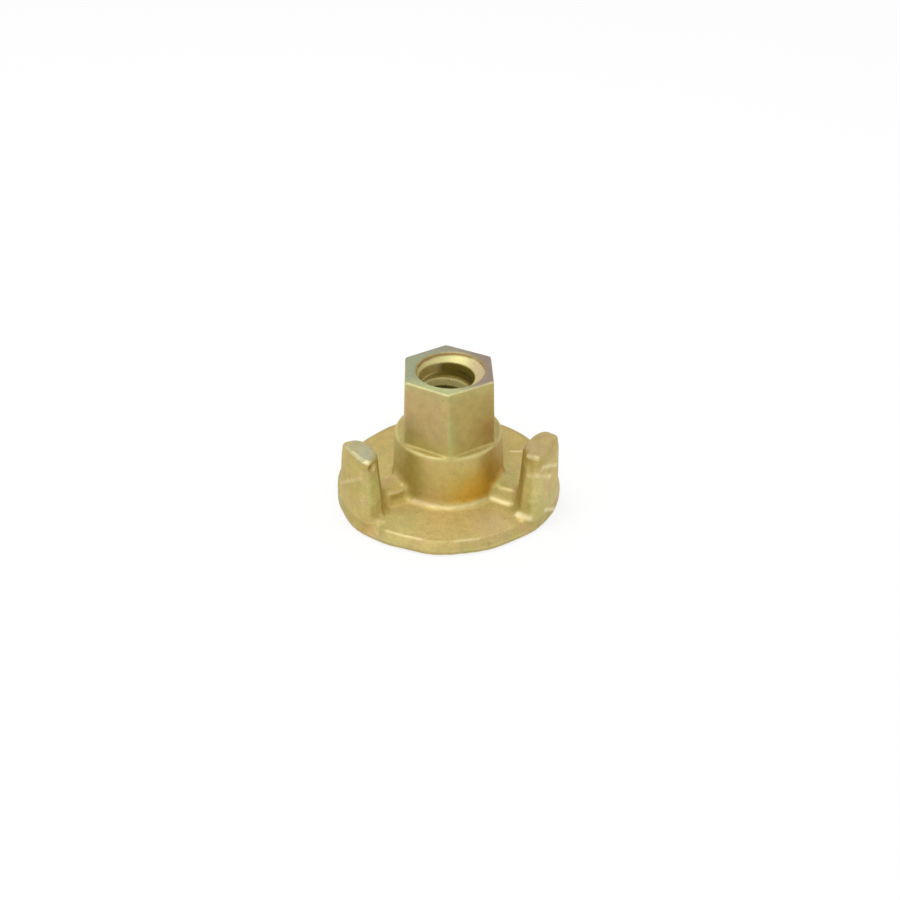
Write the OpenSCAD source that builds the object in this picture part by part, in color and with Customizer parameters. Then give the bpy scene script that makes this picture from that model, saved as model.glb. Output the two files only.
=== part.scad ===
// Three wing anchor nut for a coarse threaded formwork tie bar.
// One steel forging: a round bearing flange, a stepped hub that ends in a hexagon,
// and three upright wings on the rim, each tied to the hub by a low rib.
// The origin is at the middle of the bearing face, and +Z runs up the bore.

/* [Flange] */
// Diameter of the round flange
flange_d = 100; // [90:1:130]
// Thickness of the flange where its rim bevel starts
flange_t = 5; // [3.5:0.5:8]
// How much thicker the flange grows from there to the boss
flange_crown = 0.8; // [0.2:0.1:2]
// Width of the bevel round the rim
bevel_w = 3.6; // [2:0.1:6]
// Height of the upright edge under the bevel
rim_h = 1.8; // [1.6:0.1:2.6]
// Radius that softens the edges of the rim
rim_round = 0.8; // [0.3:0.1:0.9]

/* [Boss] */
// Diameter of the round boss at its foot
boss_d = 49.6; // [46:0.2:56]
// Height of the boss shoulder above the bearing face
boss_h = 30; // [22:1:40]
// Draft of the boss wall, in degrees
boss_draft = 3; // [0:0.5:6]
// Radius of the fillet between the boss and the flange
boss_fillet = 3; // [1:0.5:5]
// Radius of the shoulder edge
boss_round = 1.8; // [0.5:0.1:2]

/* [Hexagon] */
// Height of the whole nut
nut_h = 60; // [50:1:80]
// Size across the flats at the top
hex_af = 36.8; // [34:0.1:38]
// Draft of the six flats, in degrees
hex_draft = 2; // [0:0.5:3]
// Radius of the upright edges and of the top edges
hex_round = 1; // [0.4:0.1:2]

/* [Bore and thread] */
// Diameter of the bore between the thread grooves
bore_d = 21.2; // [18:0.1:23]
// Depth of the thread groove
thread_depth = 1; // [0.5:0.1:2]
// Pitch of the thread
thread_pitch = 10; // [9:0.5:14]
// Width of the thread groove at the bore
groove_w = 4.6; // [4:0.1:7]
// Slope of the groove's sides from square, in degrees
groove_slope = 40; // [10:1:50]
// Diameter of the lead-in cone at the top face
lead_d = 30; // [27:0.5:32]
// Depth of the lead-in cone at the top face
lead_h = 3.7; // [2:0.1:8]
// Depth of the plain relief between the cone and the thread
relief_h = 3.5; // [0.5:0.1:8]
// Size of the chamfer at the bearing face
foot_chamfer = 1.8; // [0.5:0.1:4]

/* [Wings] */
// Number of wings, each in line with a corner of the hexagon
wing_count = 3; // [2:1:3]
// Height of the wings above the bearing face, at the rim
wing_h = 35.6; // [20:0.2:45]
// How much lower the wing's top is at its nose, on the side of the hub
wing_top_fall = 1.4; // [0:0.1:4]
// Width of the wing's outer face at the flange
wing_foot_w = 28; // [20:1:36]
// Width of the wing's outer face at the top
wing_top_w = 22.5; // [14:0.5:30]
// Radial depth of the wing at the flange, from its nose to the rim
wing_foot_depth = 13.2; // [10:0.2:16]
// Radial depth of the wing at the top
wing_top_depth = 10.6; // [8:0.2:14]
// Width of the wing's inner face at the flange
wing_inner_foot_w = 21; // [12:0.5:24]
// Width of the wing's inner face at the top
wing_inner_top_w = 14.5; // [8:0.5:20]
// How far the nose stands out from the corners of the inner face
wing_nose = 1.2; // [0.2:0.1:3]
// How far the outer face leans in from the rim to the top
wing_lean = 1.6; // [0:0.1:4]
// Radius of the wing's upright edges
wing_round = 3; // [2:0.1:4]
// Radius of the edge round the wing's top
wing_top_round = 1.6; // [0.5:0.1:2]
// Radius of the fillet at the foot of the wing
wing_fillet = 2.4; // [1:0.1:4]

/* [Ribs] */
// Height of the rib's top above the bearing face
rib_h = 12; // [10:0.5:20]
// Width of the rib's flat top
rib_top_w = 10; // [4:0.5:14]
// Slope of the rib's sides from upright, in degrees
rib_draft = 18; // [5:1:30]
// Radius of the rib's top edges
rib_round = 1.4; // [0.5:0.1:2]
// Radius of the fillet at the foot of the rib
rib_fillet = 2; // [0.5:0.1:3]

/* [Hidden] */
$fn = 96;
hull_fn = 32;
arc_steps = 5;
corner_steps = 4;
thread_steps = 32;
thread_phase = 0.2;
over = 1;

flange_r = flange_d / 2;
boss_r = boss_d / 2;
bore_r = bore_d / 2;
groove_r = bore_r + thread_depth;
relief_r = groove_r + 0.2;
flange_top = flange_t + flange_crown;
boss_top_r = boss_r - (boss_h - flange_top) * tan(boss_draft);
hex_sink = over;
hex_foot_af = hex_af + 2 * (nut_h - boss_h + hex_sink) * tan(hex_draft);
wing_step = 360 / wing_count;

function polar(r, a) = r * [cos(a), sin(a)];

// Points along an arc about a centre, from one angle to another.
function arc(centre, r, from, to, steps = arc_steps) =
    [for (i = [0 : steps]) centre + polar(r, from + (to - from) * i / steps)];

// A rounded corner at p, where an outline turns from heading a to heading b.
function round_corner(p, r, a, b) =
    let (side = sign(b - a),
         centre = p + polar(side * r / cos((b - a) / 2), (a + b) / 2 + 90))
    arc(centre, r, a - 90 * side, b - 90 * side);

// Flange and boss: one profile, turned about the bore.
module flange_and_boss() {
    up_bevel = 180 - atan2(flange_t - rim_h, bevel_w);
    up_crown = 180 - atan2(flange_crown, flange_r - bevel_w - boss_r);
    up_boss = 90 + boss_draft;
    rotate_extrude() polygon(concat(
        [[0, 0]],
        round_corner([flange_r, 0], rim_round, 0, 90),
        round_corner([flange_r, rim_h], rim_round, 90, up_bevel),
        round_corner([flange_r - bevel_w, flange_t], rim_round, up_bevel, up_crown),
        round_corner([boss_r, flange_top], boss_fillet, up_crown, up_boss),
        round_corner([boss_top_r, boss_h], boss_round, up_boss, 180),
        [[0, boss_h]]));
}

// Hexagon: a rounded, drafted post at each corner, closed by a hull.
module hexagon() {
    corner = function (af) (af / 2 - hex_round) / cos(30);
    hull() for (i = [0 : 5]) rotate(60 * i + 30) {
        translate([corner(hex_foot_af), 0, boss_h - hex_sink])
            cylinder(h = hex_sink / 2, r = hex_round, $fn = hull_fn);
        translate([corner(hex_af), 0, nut_h - hex_round])
            sphere(r = hex_round, $fn = hull_fn);
    }
}

// Plain bore with a cone at each end, and a relief between the upper cone and the thread.
module bore() {
    cone_slope = (lead_d / 2 - relief_r) / lead_h;
    translate([0, 0, -over]) cylinder(h = nut_h + 2 * over, r = bore_r);
    translate([0, 0, nut_h - lead_h - relief_h]) cylinder(h = relief_h + over, r = relief_r);
    translate([0, 0, nut_h - lead_h])
        cylinder(h = lead_h + over, r1 = relief_r, r2 = relief_r + cone_slope * (lead_h + over));
    translate([0, 0, -over])
        cylinder(h = foot_chamfer + over, r1 = bore_r + foot_chamfer + over, r2 = bore_r);
}

// Thread groove: a trapezium swept along a right-hand helix, past both faces.
module thread_groove() {
    rings = thread_steps * (ceil(nut_h / thread_pitch) + 1);
    half = groove_w / 2;
    narrowing = thread_depth * tan(groove_slope);
    section = [[bore_r - thread_depth, -half - narrowing], [groove_r, narrowing - half],
               [groove_r, half - narrowing], [bore_r - thread_depth, half + narrowing]];
    points = [for (i = [0 : rings], p = section)
        let (turn = i / thread_steps)
        concat(polar(p.x, 360 * turn), p.y + thread_pitch * (turn - thread_phase))];
    sides = [for (i = [0 : rings - 1], k = [0 : 3])
        let (a = 4 * i + k, b = 4 * i + (k + 1) % 4)
        each [[a, b, b + 4], [a, b + 4, a + 4]]];
    ends = [[3, 2, 1, 0], [for (k = [0 : 3]) 4 * rings + k]];
    polyhedron(points, concat(sides, ends), convexity = 12);
}

// Centres of the upright edges of a wing on +X, anticlockwise, at a share t of its height:
// five along the outer face, then the inner face's corner, its nose and its other corner.
function wing_edges(t) =
    let (mix = function (foot, top) foot + (top - foot) * t,
         e = wing_round,
         outer_r = flange_r - wing_lean * t - e,
         outer_half = mix(wing_foot_w, wing_top_w) / 2 - e,
         inner_half = mix(wing_inner_foot_w, wing_inner_top_w) / 2 - e,
         nose_x = flange_r - wing_lean * t - mix(wing_foot_depth, wing_top_depth) + e,
         spread = asin(outer_half / outer_r))
    concat(
        [for (k = [-1 : 0.5 : 1]) polar(outer_r, k * spread)],
        [[nose_x + wing_nose, inner_half], [nose_x, 0], [nose_x + wing_nose, -inner_half]]);

// Outline of arcs about those centres, each turning from one side's normal to the next.
// The four true corners turn in more steps than the outer face and the nose between them.
function wing_outline(edges, r) =
    let (n = len(edges),
         steps = [corner_steps, 1, 1, 1, corner_steps, corner_steps, 2, corner_steps],
         normal = [for (k = [0 : n - 1])
             let (d = edges[(k + 1) % n] - edges[k]) atan2(d.y, d.x) - 90])
    [for (k = [0 : n - 1])
        let (from = normal[(k + n - 1) % n], turn = (normal[k] - from + 720) % 360)
        each arc(edges[k], r, from, from + turn, steps[k])];

// One wing on +X: outlines lofted from an apron inside the flange, up the foot fillet and
// the drafted sides, and over the rounded edge of the sloping top.
module wing() {
    nose_x = flange_r - wing_lean - wing_top_depth;
    top_z = function (x) wing_h - wing_top_fall * (flange_r - wing_lean - x) / wing_top_depth;
    rise = wing_h - flange_t;
    ring = function (t, grow, drop)
        [for (p = wing_outline(wing_edges(t), wing_round + grow))
            concat(p, flange_t + (top_z(max(p.x, nose_x)) - flange_t) * t - drop)];
    fillet_rings = [for (a = [75 : -15 : 0])
        ring(wing_fillet * (1 - sin(a)) / rise, wing_fillet * (1 - cos(a)), 0)];
    edge_rings = [for (a = [0 : 18 : 90])
        ring(1, wing_top_round * (cos(a) - 1), wing_top_round * (1 - sin(a)))];
    apron = flange_t - rim_h;
    rings = concat([ring(0, wing_fillet + apron, apron)], fillet_rings, edge_rings);
    n = len(rings[0]);
    sides = [for (i = [0 : len(rings) - 2], k = [0 : n - 1])
        let (a = n * i + k, b = n * i + (k + 1) % n)
        each [[a, a + n, b], [b, a + n, b + n]]];
    ends = [[for (k = [0 : n - 1]) k], [for (k = [n - 1 : -1 : 0]) n * (len(rings) - 1) + k]];
    intersection() {
        polyhedron([for (r = rings) each r], concat(sides, ends), convexity = 4);
        cylinder(h = nut_h, r = flange_r);
    }
}

// One rib on +X, from inside the boss into the wing.
module rib() {
    half = rib_top_w / 2;
    foot = half + (rib_h - flange_t) * tan(rib_draft);
    right = concat(
        [[foot + rib_fillet + over, rim_h], [foot + rib_fillet + over, flange_t]],
        round_corner([foot, flange_t], rib_fillet, 180, 90 + rib_draft),
        round_corner([half, rib_h], rib_round, 90 + rib_draft, 180));
    left = [for (i = [len(right) - 1 : -1 : 0]) [-right[i].x, right[i].y]];
    start = boss_r / 2;
    end = flange_r - wing_foot_depth + wing_round;
    translate([start, 0, 0]) rotate([90, 0, 90])
        linear_extrude(end - start) polygon(concat(right, left));
}

module anchor_nut() color("darkkhaki") difference() {
    union() {
        flange_and_boss();
        hexagon();
        for (i = [0 : wing_count - 1]) rotate(90 + wing_step * i) {
            wing();
            rib();
        }
    }
    bore();
    thread_groove();
}

anchor_nut();
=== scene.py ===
# %% [markdown]
# # A three wing anchor nut
#
# This nut is one steel forging. A round flange carries three upright wings on its rim.
# A hub rises in the middle, first round and then six-sided, and a coarse thread runs
# down through it. The whole nut is zinc plated and passivated to a soft yellow.
#
# The measured model is loaded first. It fixes the size and the place of everything.
# Blender works in metres, and the sizes in this script are written in millimetres.

import math

import bmesh
import bpy
import numpy as np
from mathutils import Euler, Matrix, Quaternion, Vector


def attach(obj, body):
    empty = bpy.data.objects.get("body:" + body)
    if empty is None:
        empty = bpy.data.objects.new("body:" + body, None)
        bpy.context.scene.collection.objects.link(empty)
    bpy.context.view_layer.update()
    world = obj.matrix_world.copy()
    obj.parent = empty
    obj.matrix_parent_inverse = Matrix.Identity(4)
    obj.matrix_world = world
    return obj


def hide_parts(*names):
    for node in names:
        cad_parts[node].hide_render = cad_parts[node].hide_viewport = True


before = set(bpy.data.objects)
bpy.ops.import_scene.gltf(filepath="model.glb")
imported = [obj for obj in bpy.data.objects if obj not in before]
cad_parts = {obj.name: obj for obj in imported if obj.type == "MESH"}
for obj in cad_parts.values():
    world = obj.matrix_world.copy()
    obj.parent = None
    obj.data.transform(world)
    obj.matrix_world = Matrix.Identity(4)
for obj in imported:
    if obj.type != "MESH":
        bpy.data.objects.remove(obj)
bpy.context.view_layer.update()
MM = 0.001

# %% [markdown]
# ## How a forging is modelled
#
# A forging has no sharp inner corners, because hot steel can't fill them and the die
# would crack. One way to model that is to bevel every edge where two forms meet, but a
# bevel between a round hub and a drafted wing soon tangles. Here the forms are built as
# simple closed solids that run into one another. A remesh makes them one skin, which is
# then relaxed, and the bore is cut out of it with booleans.
#
# These helpers are used for every form: one to start clean, one to pick faces or
# vertices by their place, and one to grow the top of a solid from ring to ring.

# %% Helpers for edit mode
def deselect():
    if bpy.context.object and bpy.context.object.mode != "OBJECT":
        bpy.ops.object.mode_set(mode="OBJECT")
    bpy.ops.object.select_all(action="DESELECT")


def take(piece):
    """Select one piece alone and make it active."""
    deselect()
    piece.select_set(True)
    bpy.context.view_layer.objects.active = piece
    return piece


def pick(piece, kind, test):
    """In edit mode, select the verts, edges or faces that pass test(middle in mm, item)."""
    bpy.ops.mesh.select_mode(type={"verts": "VERT", "edges": "EDGE", "faces": "FACE"}[kind])
    bpy.ops.mesh.select_all(action="DESELECT")
    mesh = bmesh.from_edit_mesh(piece.data)
    chosen = 0
    for item in getattr(mesh, kind):
        points = [item] if kind == "verts" else list(item.verts)
        middle = sum((p.co for p in points), Vector()) / len(points) / MM
        if test(middle, item):
            item.select_set(True)
            chosen += 1
    mesh.select_flush_mode()
    bmesh.update_edit_mesh(piece.data)
    return chosen


def run(edge, axis):
    """How far an edge runs along an axis, in mm."""
    first, second = edge.verts
    return abs(first.co["xyz".index(axis)] - second.co["xyz".index(axis)]) / MM


def grow(piece, rings):
    """Extrude the selected round cap through (radius, height) rings, in mm."""
    for radius, height in rings:
        mesh = bmesh.from_edit_mesh(piece.data)
        cap = [v for v in mesh.verts if v.select]
        middle = sum((v.co for v in cap), Vector()) / len(cap)
        now = max((v.co - middle).length for v in cap)
        rise = height * MM - middle.z
        bpy.ops.mesh.extrude_region_move(TRANSFORM_OT_translate={"value": (0, 0, rise)})
        share = radius * MM / now
        bpy.ops.transform.resize(
            value=(share, share, 1), center_override=(middle.x, middle.y, height * MM))


def polar(radius, angle):
    """The two coordinates of a point from its radius, and its angle in degrees."""
    turn = math.radians(angle)
    return radius * math.cos(turn), radius * math.sin(turn)


def arc(centre, radius, start, end, steps):
    """Points (radius, height) along an arc in the profile, from one angle to another."""
    offsets = [polar(radius, start + (end - start) * i / steps) for i in range(steps + 1)]
    return [(centre[0] + across, centre[1] + up) for across, up in offsets]


def apply_modifier(piece, kind, **settings):
    take(piece)
    modifier = piece.modifiers.new(kind.title(), kind)
    for name, value in settings.items():
        setattr(modifier, name, value)
    bpy.ops.object.modifier_apply(modifier=modifier.name)


def seat(piece):
    """Put the object at the origin, with its place in its mesh."""
    take(piece)
    bpy.ops.object.transform_apply(location=True, rotation=True, scale=True)
    return piece


# %% [markdown]
# ## The flange and the boss
#
# The flange is a thick washer with a bevelled rim, and the round boss stands on it with
# a draft of three degrees, so that the forging leaves its die. Both are round, so they
# could be spun from a profile. Growing a disc upwards, ring by ring, gives the same
# solid and shows each step: rim, bevel, crowned top, fillet, boss wall and shoulder.

# %% Grow the flange and the boss from a disc
FLANGE_R, RIM_H = 50.0, 1.8
BEVEL_TOP, CROWN_START, CROWN_END = (46.4, 5.0), (44.0, 5.1), (28.5, 5.7)
FOOT_CENTRE, FOOT_R = (27.6, 8.8), 3.0
WALL_TOP, SHOULDER_CENTRE, SHOULDER_R = (23.62, 28.4), (21.9, 28.4), 1.7

deselect()
bpy.ops.mesh.primitive_cylinder_add(
    vertices=144, radius=FLANGE_R * MM, depth=RIM_H * MM, location=(0, 0, RIM_H * MM / 2))
flange = seat(bpy.context.object)
flange.name = "flange"
bpy.ops.object.mode_set(mode="EDIT")
pick(flange, "faces", lambda m, f: f.normal.z > 0.9)
grow(flange, [BEVEL_TOP, CROWN_START, CROWN_END]
     + arc(FOOT_CENTRE, FOOT_R, 262, 183, 5)
     + [WALL_TOP] + arc(SHOULDER_CENTRE, SHOULDER_R, 15, 90, 4))
print("flange and boss:", len(bmesh.from_edit_mesh(flange.data).faces), "faces")

# %% [markdown]
# The die is trimmed off hot, and the rim isn't a true circle afterwards. Proportional
# editing pushes and pulls it in wide soft lobes, as a hand on the mesh would. In front,
# only the rim is taken hold of. At the back, the top of the bevel is too.

# %% Push the rim out of round
LOBE_SIZE = 14
FRONT_LOBES = ((185, -0.4), (201, 0.6), (217, 1.7), (233, 0.8), (247, -0.3), (261, 0.5),
               (275, -0.3), (289, -0.2), (303, -0.7), (319, 0.2), (335, 0.3))
BACK_LOBES = ((45, 1.5), (60, 1.8), (75, 0.7), (105, 0.7), (120, 1.7), (137, 0.9))


def push(piece, angle, out, inner):
    """Move the edge beyond a radius outwards at an angle, in mm, and what is near it."""
    toward = Vector((*polar(1, angle), 0))
    pick(piece, "verts", lambda m, v: math.hypot(m.x, m.y) > inner
         and math.degrees(toward.angle(Vector((m.x, m.y, 0)))) < 2)
    bpy.ops.transform.translate(
        value=toward * out * MM, use_proportional_edit=True,
        proportional_edit_falloff="SMOOTH", proportional_size=LOBE_SIZE * MM)


for inner, lobes in ((49.3, FRONT_LOBES), (46.0, BACK_LOBES)):
    for angle, out in lobes:
        push(flange, angle, out, inner)
bpy.ops.object.mode_set(mode="OBJECT")
rim = [math.hypot(v.co.x, v.co.y) / MM for v in flange.data.vertices if v.co.z < 1 * MM]
print("rim radius from", round(min(rim), 1), "to", round(max(rim), 1), "mm")

# %% [markdown]
# ## The wings
#
# A worker strikes the wings with a hammer to turn the nut, so they are thick and stand
# square on the rim. A wing is a block with draft on every side: wide at its outer face,
# narrower towards the hub, with a blunt nose. A cylinder cut by planes would give the
# round outer face at once, but its facets then cross the upright edges and spoil their
# bevels. A cube with a few cuts keeps four clean upright edges. It is shaped by moving
# and stretching what lies at one place, as by hand, and bevelled at the end.

# %% Helpers that move and stretch what lies at one place
def move(piece, test, x=0, y=0, z=0):
    pick(piece, "verts", test)
    bpy.ops.transform.translate(value=(x * MM, y * MM, z * MM))


def stretch(piece, test, x=1, y=1, z=1, about=(0, 0, 0)):
    pick(piece, "verts", test)
    bpy.ops.transform.resize(value=(x, y, z), center_override=Vector(about) * MM)


def block(name, low, high):
    """A cube between two corners, in mm, left in edit mode."""
    deselect()
    bpy.ops.mesh.primitive_cube_add(size=1, location=(Vector(low) + Vector(high)) / 2 * MM)
    piece = bpy.context.object
    piece.scale = (Vector(high) - Vector(low)) * MM
    piece.name = name
    seat(piece)
    bpy.ops.object.mode_set(mode="EDIT")
    return piece


# %% [markdown]
# One wing is shaped on the +X side. First the block is tapered, then its long edges are
# cut, so that the outer face can follow the round rim and the inner one can come to a
# nose. The upright edges get a wide bevel and the edges of the top a narrow one.

# %% Shape one wing
WING_H = 35.6
MID_X, MID_Z = 40, 30   # these part the inner face from the outer one, and foot from top

wing = block("wing", (38, -14, 3.2), (48, 14, WING_H))
stretch(wing, lambda m, v: m.x < MID_X, y=0.75)
stretch(wing, lambda m, v: m.x < MID_X and m.z > MID_Z, y=0.69)
stretch(wing, lambda m, v: m.x > MID_X and m.z > MID_Z, y=0.80)
move(wing, lambda m, v: m.x < MID_X and m.z > MID_Z, x=0.4, z=-1.2)
move(wing, lambda m, v: m.x < MID_X and m.z < MID_Z, x=-0.6)
move(wing, lambda m, v: m.x > MID_X and m.z > MID_Z, x=-0.9)
pick(wing, "edges", lambda m, e: run(e, "y") > 10)
bpy.ops.mesh.subdivide(number_cuts=3)
for top, bulge in ((False, 2.0), (True, 1.35)):
    # for each: on the outer face or not, how far from the middle, and how far out
    for outer, low, high, out in ((True, 0, 1, bulge), (True, 1, 9, 0.75 * bulge),
                                  (False, 0, 1, -1.2), (False, 1, 7, -0.8)):
        move(wing, lambda m, v: (m.z > MID_Z) == top and (m.x > MID_X) == outer
             and low <= abs(m.y) < high, x=out)
pick(wing, "edges", lambda m, e: run(e, "z") > 20 and e.calc_face_angle(0) > 0.6)
bpy.ops.mesh.bevel(offset=2.6 * MM, segments=4, profile=0.5)
pick(wing, "edges", lambda m, e: m.z > 33 and e.calc_face_angle(0) > 0.9)
bpy.ops.mesh.bevel(offset=0.9 * MM, segments=2, profile=0.5)
bpy.ops.object.mode_set(mode="OBJECT")
print("wing:", len(wing.data.polygons), "faces")

# %% [markdown]
# Each copy gets a mesh of its own. Dies wear and the steel doesn't always fill them, so
# no two wings are equally tall or upright, and the copies are shortened and leaned a
# little before they are turned into place.

# %% Copy the wing to its three places
def copied(piece, name):
    take(piece)
    bpy.ops.object.duplicate(linked=False)
    bpy.context.object.name = name
    return bpy.context.object


def turned(piece, angle):
    piece.rotation_euler = (0, 0, math.radians(angle))
    return seat(piece)


# For each: its name and angle, then how much taller it is and how far it leans, in mm.
WINGS = (("wing_back", 90, -0.2, 0.2, 0.0), ("wing_left", 210, -0.9, 0.4, -0.3),
         ("wing_right", 330, 1.1, -0.5, 0.3))

wings = []
for name, angle, taller, lean_in, lean_side in WINGS:
    copy = copied(wing, name)
    bpy.ops.object.mode_set(mode="EDIT")
    move(copy, lambda m, v: m.z > MID_Z, y=lean_side, z=taller)
    move(copy, lambda m, v: m.z > MID_Z and m.x > 44, x=-lean_in)
    bpy.ops.object.mode_set(mode="OBJECT")
    wings.append(turned(copy, angle))
bpy.data.objects.remove(wing)
print("wing tops in mm:", [round(max(v.co.z for v in w.data.vertices) / MM, 1) for w in wings])

# %% [markdown]
# ## The ribs
#
# A low rib ties each wing to the hub, and takes the blow of the hammer into it. It is a
# bar with drafted sides. Its ends are sunk into the wing and the hub, where the round
# inner corners come later, when the whole skin is relaxed.

# %% Make one rib and copy it
rib = block("rib", (14, -5, 2), (40, 5, 12))
stretch(rib, lambda m, v: m.z < 5, y=1.65)
pick(rib, "edges", lambda m, e: m.z > 11 and abs(m.y) > 3 and run(e, "x") > 20)
bpy.ops.mesh.bevel(offset=1.4 * MM, segments=3, profile=0.5)
bpy.ops.object.mode_set(mode="OBJECT")
ribs = [turned(copied(rib, f"rib_{angle}"), angle) for _, angle, *_ in WINGS]
bpy.data.objects.remove(rib)
print("ribs:", [r.name for r in ribs])

# %% [markdown]
# ## The hexagon
#
# The upper hub is six-sided, so that a wrench can turn the nut too. It tapers by two
# degrees a side. A six-sided cylinder is the natural start, and its top is stretched
# inwards and its edges rounded. On the real forging the trimmed top isn't quite true to
# the foot, so two of its corners are pulled a little to one side.

# %% Shape the hexagon
HEX_TOP_AF, HEX_FOOT_AF, HEX_FOOT_Z, NUT_H = 36.9, 39.1, 28.5, 60.0

deselect()
bpy.ops.mesh.primitive_cylinder_add(
    vertices=6, radius=HEX_FOOT_AF / 2 / math.cos(math.radians(30)) * MM,
    depth=(NUT_H - HEX_FOOT_Z) * MM, location=(0, 0, (NUT_H + HEX_FOOT_Z) / 2 * MM))
hexagon = seat(bpy.context.object)
hexagon.name = "hexagon"
bpy.ops.object.mode_set(mode="EDIT")
shrink = HEX_TOP_AF / HEX_FOOT_AF
stretch(hexagon, lambda m, v: m.z > 50, x=shrink, y=shrink, about=(0, 0, NUT_H))
move(hexagon, lambda m, v: m.z > 50 and m.y < -15, x=-1.0)
move(hexagon, lambda m, v: m.z > 50 and m.y > 15, x=-0.6)
pick(hexagon, "edges", lambda m, e: run(e, "z") > 20)
bpy.ops.mesh.bevel(offset=0.4 * MM, segments=2, profile=0.5)
pick(hexagon, "edges", lambda m, e: m.z > NUT_H - 0.1)
bpy.ops.mesh.bevel(offset=0.3 * MM, segments=2, profile=0.5)
bpy.ops.object.mode_set(mode="OBJECT")
print("hexagon:", len(hexagon.data.polygons), "faces")

# %% [markdown]
# ## Joining the forms with soft inner corners
#
# The flange, boss, wings and ribs only overlap so far, with hard corners where they
# meet. One remesh turns them into a single skin. To round the inner corners and leave
# the outer edges crisp, the skin is swollen along its normals, remeshed and shrunk back
# by as much: a gap narrower than the swelling fills, and an outer edge comes back.

# %% Join, swell, remesh and shrink
FILLET = 2.2


def join(pieces, name):
    deselect()
    for piece in pieces:
        piece.select_set(True)
    bpy.context.view_layer.objects.active = pieces[0]
    bpy.ops.object.join()
    pieces[0].name = name
    return pieces[0]


def remesh(piece, size):
    apply_modifier(piece, "REMESH", mode="VOXEL", voxel_size=size * MM)


forging = join([flange] + wings + ribs, "forged_nut")
remesh(forging, 0.6)
apply_modifier(forging, "DISPLACE", strength=FILLET * MM, mid_level=0)
remesh(forging, 0.6)
apply_modifier(forging, "SMOOTH", factor=0.5, iterations=2)
apply_modifier(forging, "DISPLACE", strength=-FILLET * MM, mid_level=0)
print("lower forging:", len(forging.data.polygons), "faces")

# %% [markdown]
# The hammer and the bin have had their turn at the wings, so their tops are crowned and
# some corners are knocked down. A small patch of the skin is taken hold of and moved,
# and proportional editing draws the skin around it along.

# %% Knock down the corners of the wings
# For each: its (radius, angle, height), how far out and up it moves, and over what size.
KNOCKS = (((49.0, 343.5, 36.2), -0.4, -1.6, 4.5), ((46.0, 339, 36.8), 0, 1.7, 8),
          ((49.0, 197, 34.0), -0.2, -1.2, 5), ((47.5, 102, 35.0), -0.4, -0.8, 6),
          ((49.0, 79, 35.2), -0.3, -0.5, 5))


def place(radius, angle, height):
    """A point in mm, from its radius, its angle in degrees and its height."""
    return Vector((*polar(radius, angle), height))


def nudge(piece, at, out, up, size):
    """Move the skin near a (radius, angle, height) outwards and up, in mm."""
    spot = place(*at)
    mesh = bmesh.from_edit_mesh(piece.data)
    nearest = min((v.co / MM for v in mesh.verts), key=lambda point: (point - spot).length)
    found = pick(piece, "verts", lambda m, v: (m - nearest).length < 1.2)
    bpy.ops.transform.translate(
        value=place(out, at[1], up) * MM, use_proportional_edit=True,
        proportional_edit_falloff="SMOOTH", proportional_size=size * MM)
    return found


take(forging)
bpy.ops.object.mode_set(mode="EDIT")
for at, out, up, size in KNOCKS:
    print("moved", nudge(forging, at, out, up, size), "vertices at", at)
bpy.ops.object.mode_set(mode="OBJECT")

# %% [markdown]
# ## The bore and its thread
#
# The thread is coarse, with a turn every ten millimetres, so that a bar straight from
# the rolling mill fits it even when it is dirty. The bore is a long plug with a chamfer
# at the foot, and a plain relief and a lead-in cone at the top. The thread is a small
# trapezium turned up a helix, for which the Screw modifier is made. The plug and the
# helix are only tools: they are cut away from the forging.

# %% Make the plug
BORE_R, BORE_FOOT, BORE_TOP = 10.6, 1.8, 51.4
RELIEF_R, RELIEF_FOOT, RELIEF_TOP = 11.8, 51.45, 56.2
CONE = [(14.5, 59.0), (14.9, 59.6), (15.8, 60.2), (16.6, 63)]
CHAMFER = [(12.4, 0.0), (14.4, -2.0)]
CONE_ASIDE, RELIEF_ASIDE = 0.8, -0.9

deselect()
bpy.ops.mesh.primitive_cylinder_add(
    vertices=96, radius=BORE_R * MM, depth=(BORE_TOP - BORE_FOOT) * MM,
    location=(0, 0, (BORE_TOP + BORE_FOOT) / 2 * MM))
plug = seat(bpy.context.object)
plug.name = "plug"
bpy.ops.object.mode_set(mode="EDIT")
pick(plug, "faces", lambda m, f: f.normal.z > 0.9)
grow(plug, [(RELIEF_R, RELIEF_FOOT), (RELIEF_R, RELIEF_TOP)] + CONE)
move(plug, lambda m, v: m.z > RELIEF_TOP + 1, x=CONE_ASIDE)
move(plug, lambda m, v: RELIEF_FOOT - 0.01 < m.z < RELIEF_TOP + 1, x=RELIEF_ASIDE)
pick(plug, "faces", lambda m, f: f.normal.z < -0.9 and m.z < 10)
grow(plug, CHAMFER)
bpy.ops.object.mode_set(mode="OBJECT")
print("plug:", len(plug.data.polygons), "faces")

# %% [markdown]
# The helix starts below the bearing face and ends above the top, so that the groove
# runs out through both. Only the block's end face is kept, because the Screw modifier
# sweeps a face into a tube, and the two open ends of the tube are closed afterwards.

# %% Make the helix
GROOVE_R, GROOVE_W, PITCH, THREAD_START = 11.6, 5.2, 10.0, -1.05
TURNS, STEPS_A_TURN = 7, 48
SPARE = 0.8   # the trapezium is this much wider on each side, 1 mm inside the bore's wall

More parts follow.
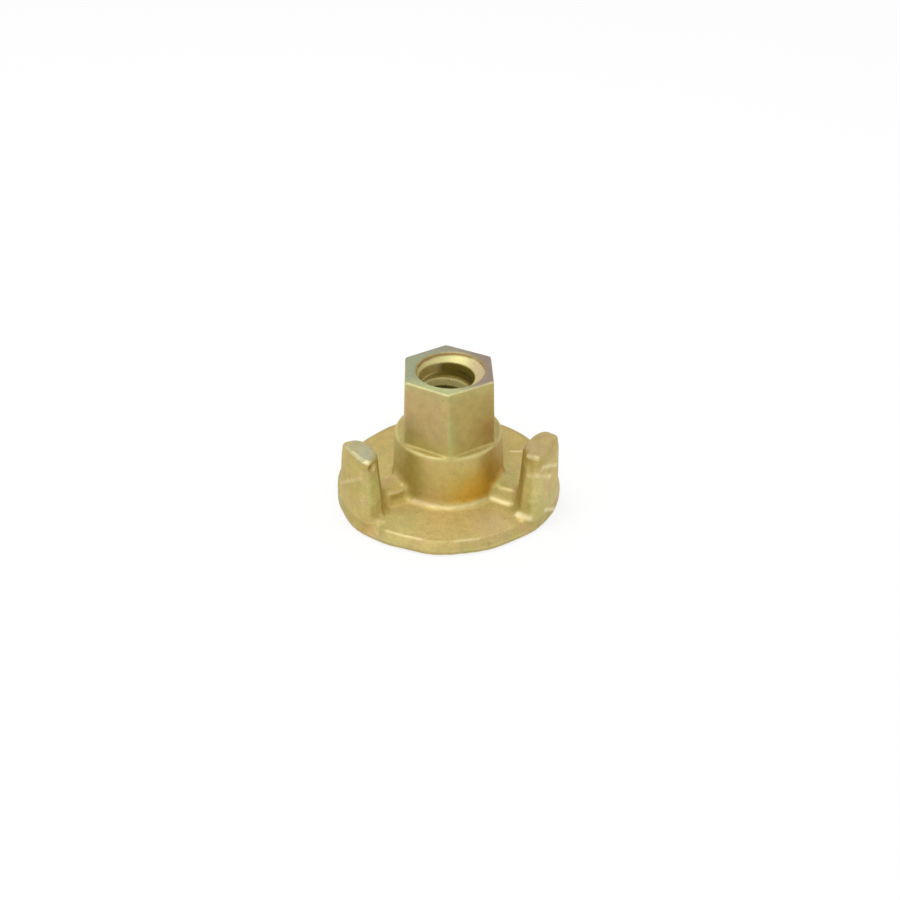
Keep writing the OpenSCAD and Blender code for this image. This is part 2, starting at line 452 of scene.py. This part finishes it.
half = GROOVE_W / 2 + SPARE
thread = block("thread", (BORE_R - 1, -1, THREAD_START - half),
               (GROOVE_R, 1, THREAD_START + half))
stretch(thread, lambda m, v: m.x > 10.5, z=0.5, about=(0, 0, THREAD_START))
pick(thread, "faces", lambda m, f: abs(f.normal.y) < 0.9 or f.normal.y > 0)
bpy.ops.mesh.delete(type="FACE")
bpy.ops.object.mode_set(mode="OBJECT")
apply_modifier(thread, "SCREW", angle=math.tau * TURNS, screw_offset=PITCH * TURNS * MM,
               steps=STEPS_A_TURN * TURNS, render_steps=STEPS_A_TURN * TURNS,
               use_normal_calculate=True)
take(thread)
bpy.ops.object.mode_set(mode="EDIT")
bpy.ops.mesh.select_all(action="DESELECT")
bpy.ops.mesh.select_mode(type="EDGE")
bpy.ops.mesh.select_non_manifold()
bpy.ops.mesh.fill_holes(sides=4)
bpy.ops.mesh.select_all(action="SELECT")
bpy.ops.mesh.normals_make_consistent(inside=False)
bpy.ops.object.mode_set(mode="OBJECT")
print("thread helix:", len(thread.data.polygons), "faces, top at",
      round(max(v.co.z for v in thread.data.vertices) / MM, 1), "mm")

# %% [markdown]
# ## One skin
#
# Now the hexagon joins the lower forging, and the plug and the helix are cut away. A
# last remesh makes the skin even, and a light smoothing rounds every edge to about half
# a millimetre.

# %% Cut the bore and relax the skin
forging = join([forging, hexagon], "forged_nut")
remesh(forging, 0.5)
for tool in (plug, thread):
    apply_modifier(forging, "BOOLEAN", operation="DIFFERENCE", solver="EXACT", object=tool)
    bpy.data.objects.remove(tool)
remesh(forging, 0.45)
apply_modifier(forging, "SMOOTH", factor=0.5, iterations=3)
print("whole forging:", len(forging.data.polygons), "faces")

# %% [markdown]
# ## Laps and dents
#
# Where hot steel folds over itself in the die, it leaves a lap: a low welt with a dark
# gap beside it. Bars and hammers also leave dents. Sculpting them needs a hand, so here
# the skin close to a line is picked, and fattened or pressed in along its normals. The
# same lines are written into an attribute of the mesh, so that the finish can paint a
# highlight along each welt and a shadow in each gap. Several lines are not laps at all
# but painted light and shade: highlights along the fillet at the boss's foot, the crease
# of the rim and the edges of the ribs, and shade down the inner sides of the wings.

# %% Raise the laps and press the dents
def off_line(point, line):
    """How far a point is from a bent line."""
    best = math.inf
    for a, b in zip(line, line[1:]):
        along = b - a
        share = max(0.0, min(1.0, (point - a).dot(along) / along.length_squared))
        best = min(best, (point - a - share * along).length)
    return best


# For each: (radius, angle, height) of its points, lift, width, and how pale or dark the
# painted highlight or painted shadow along it is.
LAPS_AND_PAINTED_LINES = (
    (((49.3, 197, 12.2), (48.9, 210, 20.4), (48.4, 220, 26.6)), 0.25, 2.0, 0.35),
    (((49.3, 199, 15.2), (48.9, 210, 23.2)), -0.15, 1.8, -0.35),
    (((49.0, 221, 15.8), (45.0, 224.9, 13.6)), 0.2, 2.2, 0.35),
    (((46.6, 210, 34.3), (46.4, 216, 34.2), (45.9, 221.6, 33.6)), 0.1, 1.4, 0.55),
    (((45.9, 221.2, 33.6), (44.4, 223.0, 33.0)), 0.2, 2.0, 0.9),
    (((44.7, 221.8, 31.4), (44.0, 223.0, 30.8)), -0.8, 2.1, -1.0),
    (((43.0, 318.8, 34.6), (44.8, 318.6, 35.0), (47.3, 318.8, 35.4)), 0.2, 2.0, 0.7),
    (((49.0, 321, 30.8), (49.2, 328, 28.0), (49.3, 337, 23.7)), 0.3, 2.2, 0.5),
    (((49.2, 322, 28.2), (49.3, 331, 24.6)), -0.2, 2.0, -0.35),
    (((44.4, 317, 26.0), (48.4, 318, 27.4), (49.3, 328, 22.9)), 0.3, 2.0, 0.6),
    (((45.0, 317, 28.9), (48.6, 318.4, 30.0)), -0.2, 1.8, -0.4),
    (((46.7, 315.4, 14.9), (49.3, 317.5, 15.2)), 0.15, 2.4, 0.3),
    (((49.8, 324, 7.4), (50.1, 334, 2.0)), 0.2, 1.8, 0.6),
    (((42.2, 313.2, 6.3), (45.0, 313.7, 6.6), (47.6, 314.6, 6.8)), 0.35, 2.6, 0.9),
    (((34.1, 30.0, 5.6), (37.5, 27.2, 5.4)), 0.3, 1.8, 0.65),
    (((34.2, 33.0, 5.6), (37.6, 30.0, 5.4)), -0.2, 1.8, -0.4),
    (((48.0, 341, 35.0), (48.2, 333, 36.4)), 0.0, 2.2, -0.45),
    (((47.2, 229.3, 3.9), (47.8, 231.7, 3.5)), -0.2, 2.2, -0.3),
    (((39.9, 220.5, 30.0), (39.9, 221.9, 22.2), (39.9, 223.6, 12.4), (40.8, 226.3, 6.4)),
     0.0, 1.9, -0.75),
    (((38.9, 325.3, 34.6), (40.9, 318.0, 26.9), (41.2, 316.4, 17.3), (41.5, 314.8, 8.5)),
     0.0, 1.9, -0.7),
    (((25.6, 234.3, 7.0), (25.8, 250.6, 6.9), (26.2, 268.1, 6.5), (25.9, 289.4, 6.7),
      (25.8, 307.5, 6.8)), 0.0, 1.6, 0.4),
    (((26.6, 312.5, 6.6), (31.5, 315.6, 6.2), (36.5, 318.0, 6.9)), 0.15, 1.8, 0.6),
    (((28.7, 319.4, 10.7), (35.4, 322.2, 11.8)), 0.1, 1.4, 0.35),
    (((34.9, 224.5, 5.7), (30.5, 227.5, 5.7), (26.3, 231.8, 6.4)), 0.1, 1.8, 0.25),
    (((33.2, 219.3, 10.6), (30.0, 220.8, 10.0), (27.4, 221.5, 10.5)), 0.15, 1.4, 0.4),
    (((32.4, 221.2, 8.2), (28.1, 223.0, 8.1)), -0.2, 1.8, -0.6),
    (((45.4, 227.4, 5.7), (43.7, 229.9, 5.2)), 0.1, 2.0, 0.35),
    (((47.0, 235, 4.6), (46.6, 245, 4.7), (46.5, 254, 4.8)), 0.0, 1.3, 0.4),
    (((46.5, 272, 4.8), (46.4, 284, 4.7)), 0.0, 1.3, 0.35),
)
lines = [([place(*point) for point in line], lift, width, tone)
         for line, lift, width, tone in LAPS_AND_PAINTED_LINES]
take(forging)
bpy.ops.object.mode_set(mode="EDIT")
for line, lift, width, tone in lines:
    if lift:
        near = max((p - line[0]).length for p in line) + 2
        pick(forging, "verts", lambda m, v: (m - line[0]).length < near
             and off_line(m, line) < 0.35 * width)
        bpy.ops.transform.shrink_fatten(
            value=lift * MM, use_proportional_edit=True,
            proportional_edit_falloff="SMOOTH", proportional_size=width * MM)
bpy.ops.object.mode_set(mode="OBJECT")
print("laps and dents:", len(lines))

# %% [markdown]
# The skin is finer than it needs to be on the flat faces. Decimating keeps the detail at
# the edges and brings the count under two hundred thousand triangles.

# %% Thin the skin and set it on the frame
apply_modifier(forging, "DECIMATE", ratio=0.49)
take(forging)
bpy.ops.object.shade_smooth()
seat(forging)
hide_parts("anchor_nut")
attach(forging, "root")
forging.data.calc_loop_triangles()
print("finished forging:", len(forging.data.loop_triangles), "triangles")

# %% [markdown]
# ## Three attributes for the finish
#
# The finish has to know which places stick out, to be rubbed pale and given a painted
# highlight, which hollows to darken with painted shade, where the skin is level, and
# where the laps and the other painted lines are. Geometry's Pointiness would tell an edge
# from a hollow, but it looks at single vertices and speckles a thinned skin. Comparing
# each vertex with a relaxed copy of the skin is steadier: at an edge the copy sinks below
# the skin, and in a hollow it rises.

# %% Read the mesh into arrays
mesh = forging.data
count = len(mesh.vertices)
points, normals = np.empty(count * 3), np.empty(count * 3)
mesh.vertices.foreach_get("co", points)
mesh.vertices.foreach_get("normal", normals)
points, normals = points.reshape(-1, 3) / MM, normals.reshape(-1, 3)
pairs = np.empty(len(mesh.edges) * 2, dtype=int)
mesh.edges.foreach_get("vertices", pairs)
pairs = np.concatenate([pairs.reshape(-1, 2), pairs.reshape(-1, 2)[:, ::-1]])
neighbours = np.bincount(pairs[:, 0], minlength=count)


def relax(values, rounds):
    """Each value becomes the mean of its neighbours', again and again."""
    for _ in range(rounds):
        values = np.stack([np.bincount(pairs[:, 0], column[pairs[:, 1]], count) / neighbours
                           for column in values.T], 1)
    return values


def write(name, values):
    mesh.attributes.new(name, "FLOAT", "POINT").data.foreach_set(
        "value", values.astype(np.float32))


print("read", count, "vertices with", len(mesh.edges), "edges")

# %% [markdown]
# What faces up is rubbed the most and gets the most painted highlight, and the reach of
# both falls off towards the sides. The edges show less on the right wing and on the
# hexagon's top behind its front corner.

# %% Write the edges, the level places and the laps
proud = ((points - relax(points, 10)) * normals).sum(1)
proud = relax(proud[:, None], 1)[:, 0]
# the pale edge is rubbed wear and painted highlight together, strongest where the skin faces up
reach = np.clip(normals[:, 2] * 1.6 + 0.12, 0.12, 1)
dim_edges_right = (points[:, 0] > 20) & (points[:, 2] > 30)
reach = np.where(dim_edges_right, reach * 0.45, reach)
behind_corner = (points[:, 1] > -10.2) & (points[:, 2] > 55)
reach = np.where(behind_corner, reach * 0.3, reach)
write("proud", np.where(proud > 0, proud * reach, proud))
write("level", relax(normals[:, 2:], 2)[:, 0])
# painted highlight where a line's tone is above zero, painted shadow where it is below
painted_line_tone = np.zeros(count)
for line, lift, width, tone in lines:
    gap = np.full(count, np.inf)
    for a, b in zip(np.array(line), np.array(line)[1:]):
        share = np.clip((points - a) @ (b - a) / ((b - a) @ (b - a)), 0, 1)
        gap = np.minimum(gap, np.linalg.norm(points - a - share[:, None] * (b - a), axis=1))
    close = np.clip(1 - gap / width, 0, 1)
    painted_line_tone += tone * close ** 2 * (3 - 2 * close)
write("painted_line_light", np.clip(painted_line_tone, -1, 1))
print("skin proud of its relaxed copy by", [round(float(v), 2) for v in
      np.percentile(proud, (0.5, 5, 50, 95, 99.5))], "mm")

# %% [markdown]
# ## Shader maths as expressions
#
# A finish that varies over the surface takes many small nodes. The class below wraps a
# node socket, so that plain Python sums and products add the Math nodes, and one method
# adds every other kind of node.

# %% A socket that can be reckoned with
class Shade:
    def __init__(self, tree, socket=None):
        self.tree, self.socket = tree, socket

    def node(self, kind, settings=None, inputs=None, out=0):
        made = self.tree.nodes.new(kind)
        for name, value in (settings or {}).items():
            setattr(made, name, value)
        for name, value in (inputs or {}).items():
            target = made.inputs[name]
            if isinstance(value, Shade):
                self.tree.links.new(value.socket, target)
            elif target.type == "RGBA":
                target.default_value = (*value, 1)
            else:
                target.default_value = value
        return Shade(self.tree, made.outputs[out])

    def maths(self, operation, *others):
        """A Math node on this value, and on a second one where it takes two."""
        return self.node("ShaderNodeMath", {"operation": operation},
                         dict(enumerate((self, *others))))

    def __add__(self, other):
        return self.maths("ADD", other)

    def __sub__(self, other):
        return self.maths("SUBTRACT", other)

    def __rsub__(self, other):
        return self.node("ShaderNodeMath", {"operation": "SUBTRACT"}, {0: other, 1: self})

    def __mul__(self, other):
        return self.maths("MULTIPLY", other)

    def __truediv__(self, other):
        return self.maths("DIVIDE", other)

    __radd__, __rmul__ = __add__, __mul__

    def step(self, low, high):
        """0 at low, 1 at high, smooth between them and level beyond."""
        return self.node("ShaderNodeMapRange", {"interpolation_type": "SMOOTHSTEP"},
                         {"Value": self, "From Min": low, "From Max": high})

    def near(self, middle, width):
        """1 at a value, and fading to 0 at a distance from it."""
        return (self - middle).maths("ABSOLUTE").step(width, 0)

    def axes(self):
        """The x, y and z of this vector."""
        parts = self.node("ShaderNodeSeparateXYZ", None, {0: self}).socket.node
        return [Shade(self.tree, socket) for socket in parts.outputs]

    def mix(self, first, second, share, kind="MIX"):
        """Two colours mixed by a share. Sockets 6 and 7 are Mix's colours, and 2 its result."""
        return self.node("ShaderNodeMix", {"data_type": "RGBA", "blend_type": kind},
                         {0: share, 6: first, 7: second}, out=2)

    def under(self, *layers):
        """This colour with (tint, share) layers laid over it, one after the other."""
        colour = self
        for tint, share in layers:
            colour = self.mix(colour, tint, share)
        return colour

    def times(self, factor):
        """This colour made lighter or darker by a varying factor."""
        return self.mix(self, factor, 1.0, "MULTIPLY")


print("shader helper ready")

# %% [markdown]
# ## The finish: zinc with a yellow passivate
#
# The plating is metal under a thin film that hides part of its mirror, so the surface is
# made half metallic. Yellow passivate drifts between olive, straw, green and pink from
# place to place with the film's thickness. A thin-film setting on the shader would drift
# with the angle of view alone, so slow noise over the object's own coordinates is mixed
# into the colour instead. Under the plating the skin of the forging is sandy, and small
# pits are left by scale.

# %% Yellow passivated zinc on a forged skin
STRAW, GREEN, ROSE = (0.560, 0.435, 0.145), (0.47, 0.43, 0.130), (0.60, 0.40, 0.180)

plating = bpy.data.materials.new("yellow_zinc_forged")
plating.use_nodes = True
tree = plating.node_tree
shader = tree.nodes["Principled BSDF"]
here = Shade(tree).node("ShaderNodeTexCoord", out="Object")
in_mm = here.node("ShaderNodeVectorMath", {"operation": "SCALE"}, {0: here, "Scale": 1 / MM})
x, y, z = in_mm.axes()


def noise(scale, detail=2.0, roughness=0.5, shift=(0, 0, 0)):
    """Noise whose cells are about 1 / scale metres, moved aside so no two are alike."""
    placed = here.node("ShaderNodeVectorMath", {"operation": "ADD"}, {0: here, 1: shift})
    return here.node("ShaderNodeTexNoise", {"noise_dimensions": "3D"},
                     {"Vector": placed, "Scale": scale, "Detail": detail,
                      "Roughness": roughness})


def span(a, b):
    """The distance that two values make at right angles."""
    return (a * a + b * b).maths("SQRT")


drift = noise(45, 2)
patch = noise(110, 3, shift=(0.3, 0, 0))
mottle = noise(260, 3, 0.6, shift=(0.1, 0.1, 0)).step(0.3, 0.7)
grain = noise(1500, 2, 0.6)
sand = noise(1300, 2, 0.6, shift=(0, 0.2, 0))
pits = noise(420, 1, 0.5, shift=(0, 0, 0.4)).step(0.70, 0.80)
radius = span(x, y)
wobble = (patch - 0.5) * 6

colour = here.mix(STRAW, GREEN, drift.step(0.46, 0.66) * 0.7)
colour = colour.under((ROSE, patch.step(0.50, 0.68) * 0.6))
print("base colour:", len(tree.nodes), "nodes")

# %% [markdown]
# ## A tint for each surface
#
# The passivate takes differently on each surface, and no formula gives that, so the
# tints are given one by one and laid over one another. Painting them on an image would
# need UVs. Here each tint has a mask, made of smooth steps in the object's own
# coordinates, and slow noise makes most of the borders wander.
#
# The flange is paler in front and darker behind. Part of that is not plating: it stands
# in for light that falls off towards the back, and other light may show it as a stain.
# The boss is painted orange low down and towards the right, and olive on the left. This
# is painted reflection and shade: it stands in for the warm light that the ribs and wings
# throw onto the boss, and for the shade low on it.

# %% Tint the flange and the boss
def about(point, size):
    """1 at a (radius, angle, height), and fading to 0 at a distance from it, in mm."""
    gap = here.node("ShaderNodeVectorMath", {"operation": "DISTANCE"},
                    {0: in_mm, 1: place(*point)}, out="Value")
    return (gap + wobble).step(size, 0)


on_flange = z.step(7.0, 6.0) * radius.step(23.5, 26.5)
colour = colour.under(
    ((0.66, 0.525, 0.215),
     on_flange * radius.step(47.0, 44.0) * (y + wobble).step(-12, -34) * 0.6),
    ((0.46, 0.345, 0.095), on_flange * (y + wobble).step(0, 30) * 0.55),
    ((0.52, 0.51, 0.180), on_flange * about((41.6, 239, 5.2), 15) * 0.5),
    ((0.60, 0.46, 0.240), on_flange * about((40.2, 296, 5.2), 12) * 0.55),
    ((0.62, 0.43, 0.150), on_flange * about((34, 270, 5.2), 14) * 0.3))

on_boss = radius.step(26.2, 24.5) * z.step(30.5, 29.0) * z.step(6.5, 8.5)
low_down = (z + wobble).step(30, 11)
# painted reflection and shade on the boss: orange low down and on the right, olive on the left
colour = colour.under(
    ((0.64, 0.345, 0.012), on_boss * low_down * (x + wobble).step(-11, 13) * 0.85),
    ((0.55, 0.29, 0.010), on_boss * about((24.1, 315, 18), 10) * 0.6),
    ((0.40, 0.31, 0.060), on_boss * (x + wobble).step(-4, -17) * 0.7),
    ((0.42, 0.26, 0.045), on_boss * (x + wobble).step(10, 19) * 0.6))
print("with the flange and the boss:", len(tree.nodes), "nodes")

# %% [markdown]
# The hexagon stays duller and pinker, and darker towards its foot. Its left faces are
# painted lighter and its right faces darker, as painted light and shade from the lamp's
# side. Its cut top turns grey-green to mauve.

# %% Tint the hexagon and its top
on_hexagon = z.step(30.2, 31.2) * radius.step(15.0, 15.6)
front_edge = x.near(0.5, 2.8) * y.step(-18, -20)
on_ledge = z.near(30.0, 1.6) * radius.step(16.5, 18.0) * radius.step(25.4, 24.6)
colour = colour.under(
    # the left faces painted lighter and the right faces darker: painted light and shade
    ((0.53, 0.39, 0.165), on_hexagon * (x + wobble).step(4, -6) * 0.9),
    ((0.46, 0.355, 0.110), on_hexagon * (x + wobble).step(-2, 2) * 0.9),
    ((0.44, 0.33, 0.080), on_hexagon * (z + wobble).step(42, 31) * 0.5),
    ((0.43, 0.44, 0.150),
     on_hexagon * front_edge * (0.2 + 0.5 * (z + wobble).step(54, 42))),
    ((0.35, 0.29, 0.070), on_hexagon * about((20.8, 218, 36), 9) * 0.6),
    ((0.42, 0.235, 0.060), on_hexagon * about((20.8, 321, 38), 10) * 0.8),
    ((0.47, 0.44, 0.160), on_hexagon * (z + wobble).step(53.5, 58.5) * 0.45),
    ((0.46, 0.40, 0.095), on_hexagon * (z + wobble).step(37, 31) * x.step(4, -2) * 0.5),
    ((0.45, 0.385, 0.125), on_ledge * 0.6))

on_top = z.step(59.4, 59.8)
top_tint = here.mix((0.30, 0.325, 0.19), (0.45, 0.47, 0.210), (y + wobble).step(-4, -16))
top_tint = top_tint.under(((0.28, 0.215, 0.165), (x + wobble).step(0, 14)),
                          ((0.29, 0.235, 0.19), (y + wobble).step(10, 20) * 0.7))
colour = colour.under((top_tint, on_top))
print("with the hexagon:", len(tree.nodes), "nodes")

# %% [markdown]
# The wings' tops are grey-green on the left and browner on the right, and the attribute
# for level skin keeps that off their sides. The right wing's inner side and the edge of
# the flange are darkened a little, which stands in for shade as much as for plating.
# Then the whole colour is mottled.

# %% Tint the wings and the ribs
level = here.node("ShaderNodeAttribute", {"attribute_name": "level"}, out="Fac")
on_right = x.step(-10, 10)
on_wing_top = (z + wobble * 0.3).step(32.5, 34.5) * radius.step(36, 38)
on_wing_top = on_wing_top * (level + wobble * 0.02).step(0.25, 0.65)
wing_tint = here.mix((0.42, 0.425, 0.285), (0.46, 0.345, 0.175), on_right)
on_wing_side = span(x - 30.0, y + 26.8).step(3.6, 2.0) * z.step(8.5, 12.0)
on_edge = radius.step(45.2, 46.8) * z.step(5.6, 4.8)
colour = colour.under(
    (wing_tint, on_wing_top * (0.85 - 0.25 * on_right)),
    ((0.58, 0.36, 0.085), about((50.3, 225, 2.8), 6) * 0.6),
    ((0.58, 0.56, 0.190), about((45, 224, 20), 16) * x.step(-35.5, -33.5) * 0.7),
    ((0.475, 0.355, 0.075), about((49, 205, 20), 26) * x.step(-36, -38) * 0.9),
    ((0.52, 0.375, 0.095), about((49.5, 337, 24), 20) * 0.7),
    ((0.62, 0.53, 0.200), about((44.5, 317.5, 22), 15) * 0.7),
    ((0.38, 0.27, 0.055), on_wing_side * 0.7),
    ((0.50, 0.35, 0.045), about((30.5, 222, 7.5), 6.5) * 0.6),
    ((0.75, 0.58, 0.270), about((31, 315, 9), 6) * 0.5))
colour = colour.times(1 - 0.16 * on_edge)
colour = colour.times(1 + 0.14 * (mottle - 0.5))
print("with the wings:", len(tree.nodes), "nodes")

# %% [markdown]
# The cut cone stays bright, with a painted dark line at its lip that stands in for the
# shade of the rolled lip. In the bore the crest of the thread is painted far paler than
# the plating, as painted light, and the groove is painted dark, as painted shade. The dark
# tint follows the same helix as the groove, but it is laid wider than the groove is cut
# and a little higher, so part of the thread's depth to the eye is colour.

# %% Tint the cone and the bore
TINT_RISE = 0.85
TINT_IN, TINT_OUT = 2.9, 3.5

lip = span(x - CONE_ASIDE, y) + (patch - 0.5) * 1.2
on_cone = lip.step(14.6, 14.1) * z.step(56.2, 56.6)
cone_tint = here.mix((0.66, 0.61, 0.265), (0.58, 0.44, 0.26),
                     (x + wobble).step(7, 13.5) * 0.85)
on_lip = lip.near(14.5, 0.8) * z.step(57.5, 58.5) * patch.step(0.25, 0.55)
in_bore = radius.step(12.3, 11.9) * z.step(56.8, 56.0)
turn = y.maths("ARCTAN2", x) / math.tau
climb = (z - (THREAD_START + TINT_RISE)) / PITCH - turn
off_groove = (((climb + 0.5).maths("FRACT") - 0.5) * PITCH).maths("ABSOLUTE")
painted_groove_shade = off_groove.step(TINT_OUT, TINT_IN).maths("MAXIMUM", z.step(51.0, 51.7))
# painted shade at the cone's lip, the bore painted pale as painted light, and painted shade
# along the groove
colour = colour.under((cone_tint, on_cone), ((0.27, 0.18, 0.06), on_lip),
                      ((1.0, 0.92, 0.46), in_bore),
                      ((0.20, 0.15, 0.015), in_bore * painted_groove_shade * 0.97))
print("with the bore:", len(tree.nodes), "nodes")

# %% [markdown]
# Last come the marks of the making and of use, and painted light with them: sandy grain,
# small dark pits, pale edges that are partly rubbed and partly painted highlight, hollows
# darkened with painted shade, and the painted highlights and shadows along the laps. The
# edges, the hollows and the laps come from the attributes of the mesh. The hexagon and
# the boss are smoother than the flange.

# %% Grain, pits, rubbed and highlit edges, shaded hollows and laps
proud = here.node("ShaderNodeAttribute", {"attribute_name": "proud"}, out="Fac")
painted_line_light = here.node("ShaderNodeAttribute", {"attribute_name": "painted_line_light"}, out="Fac")
on_upper = on_hexagon.maths("MAXIMUM", on_top)
rubbed_and_highlit = (proud - 0.07 * on_upper).step(0.07, 0.26)
rough_skin = 1 - 0.6 * on_upper - 0.5 * on_boss
colour = colour.times(1 + 0.15 * (sand.step(0.3, 0.7) - 0.5) * rough_skin)
colour = colour.under(
    # pale edges are rubbed wear and painted highlight together; the dark hollows are painted
    # shade
    ((0.76, 0.70, 0.34), rubbed_and_highlit * 0.55),
    ((0.40, 0.28, 0.07), proud.step(-0.05, -0.25) * 0.3),
    # painted highlight along the lines, then painted shadow along them
    ((0.90, 0.78, 0.45), painted_line_light.step(0.0, 0.9) * 0.85),
    ((0.28, 0.19, 0.045), painted_line_light.step(0.0, -1.0) * 0.7),
    ((0.24, 0.17, 0.05), pits * 0.3))
tree.links.new(colour.socket, shader.inputs["Base Color"])
shader.inputs["Metallic"].default_value = 0.5
rough = 0.44 + 0.12 * sand
tree.links.new(rough.socket, shader.inputs["Roughness"])
bump = here.node("ShaderNodeBump", None,
                 {"Strength": 0.6, "Distance": 0.12 * MM, "Height": grain + sand - pits})
tree.links.new(bump.socket, shader.inputs["Normal"])
forging.data.materials.clear()
forging.data.materials.append(plating)
print("finish:", len(tree.nodes), "nodes")

# %% [markdown]
# ## Floor, light and camera
#
# The nut stands on a white table in plain soft light. A table that is only lit comes out
# uneven, and its reflection brightens the sides of the nut. So to the camera and in
# reflections the table's material is mostly an even white glow, and to all other rays
# it stays plain matt white.

# %% Stand the nut on a white floor
deselect()
bpy.ops.mesh.primitive_plane_add(size=12, location=(0, 0, -0.3 * MM))
floor = seat(bpy.context.object)
floor.name = "floor"
paper = bpy.data.materials.new("white_table")
paper.use_nodes = True
white = Shade(paper.node_tree)
seen = white.node("ShaderNodeLightPath", out="Is Camera Ray")
seen = seen.maths("MAXIMUM", white.node("ShaderNodeLightPath", out="Is Glossy Ray"))
diffuse = white.node("ShaderNodeBsdfDiffuse", None, {"Color": (0.9, 0.9, 0.9)})
glow = white.node("ShaderNodeEmission", None, {"Color": (1, 1, 1), "Strength": 1.0})
mixed = white.node("ShaderNodeMixShader", None, {0: seen * 0.75, 1: diffuse, 2: glow})
paper.node_tree.links.new(
    mixed.socket, paper.node_tree.nodes["Material Output"].inputs["Surface"])
floor.data.materials.append(paper)
print("floor:", floor.name)

# %% [markdown]
# The world gives most of the light, from all round. A wide lamp high above the nut, a
# little to the left and in front, shapes the form. A small bright lamp would cast hard
# shadows that a light tent doesn't have.

# %% Light it from all round and from above
world = bpy.data.worlds.new("studio")
bpy.context.scene.world = world
world.use_nodes = True
world.node_tree.nodes["Background"].inputs["Color"].default_value = (1, 1, 1, 1)
world.node_tree.nodes["Background"].inputs["Strength"].default_value = 0.95

deselect()
bpy.ops.object.light_add(type="AREA", location=(-0.3, -0.2, 1.15))
key = bpy.context.object
key.name = "key_light"
key.data.shape, key.data.size, key.data.energy = "DISK", 0.6, 4.0
key.rotation_euler = (Vector((0, 0, 0.02)) - key.location).to_track_quat("-Z", "Y").to_euler()
print("lamp:", key.name, "of", key.data.energy, "W")

# %% [markdown]
# The camera looks down on the nut from the front. It is placed by the point that it
# aims at, its distance and its three angles, which is easier to adjust than a place and
# a rotation. The shift slides the picture in its frame without turning the camera.

# %% Place the camera
AIM, DISTANCE = Vector((0, 0, 0.025)), 0.510
ELEVATION, DIRECTION, ROLL = 34.16, 268.2, 0.29
FRAME_PX, RIGHT_PX, UP_PX = 900, 1.5, -12

deselect()
bpy.ops.object.camera_add()
camera = bpy.context.object
camera.name = "camera"
facing = Euler((math.radians(90 - ELEVATION), 0, math.radians(DIRECTION + 90))).to_quaternion()
facing = facing @ Quaternion((0, 0, 1), math.radians(ROLL))
camera.rotation_mode = "QUATERNION"
camera.rotation_quaternion = facing
camera.location = AIM + facing @ Vector((0, 0, DISTANCE))
camera.data.sensor_width, camera.data.lens = 36, 46.6
camera.data.shift_x, camera.data.shift_y = RIGHT_PX / FRAME_PX, UP_PX / FRAME_PX
camera.data.clip_start = 0.01
bpy.context.scene.camera = camera
bpy.context.scene.view_settings.view_transform = "Standard"
print("camera at", [round(x, 3) for x in camera.location])
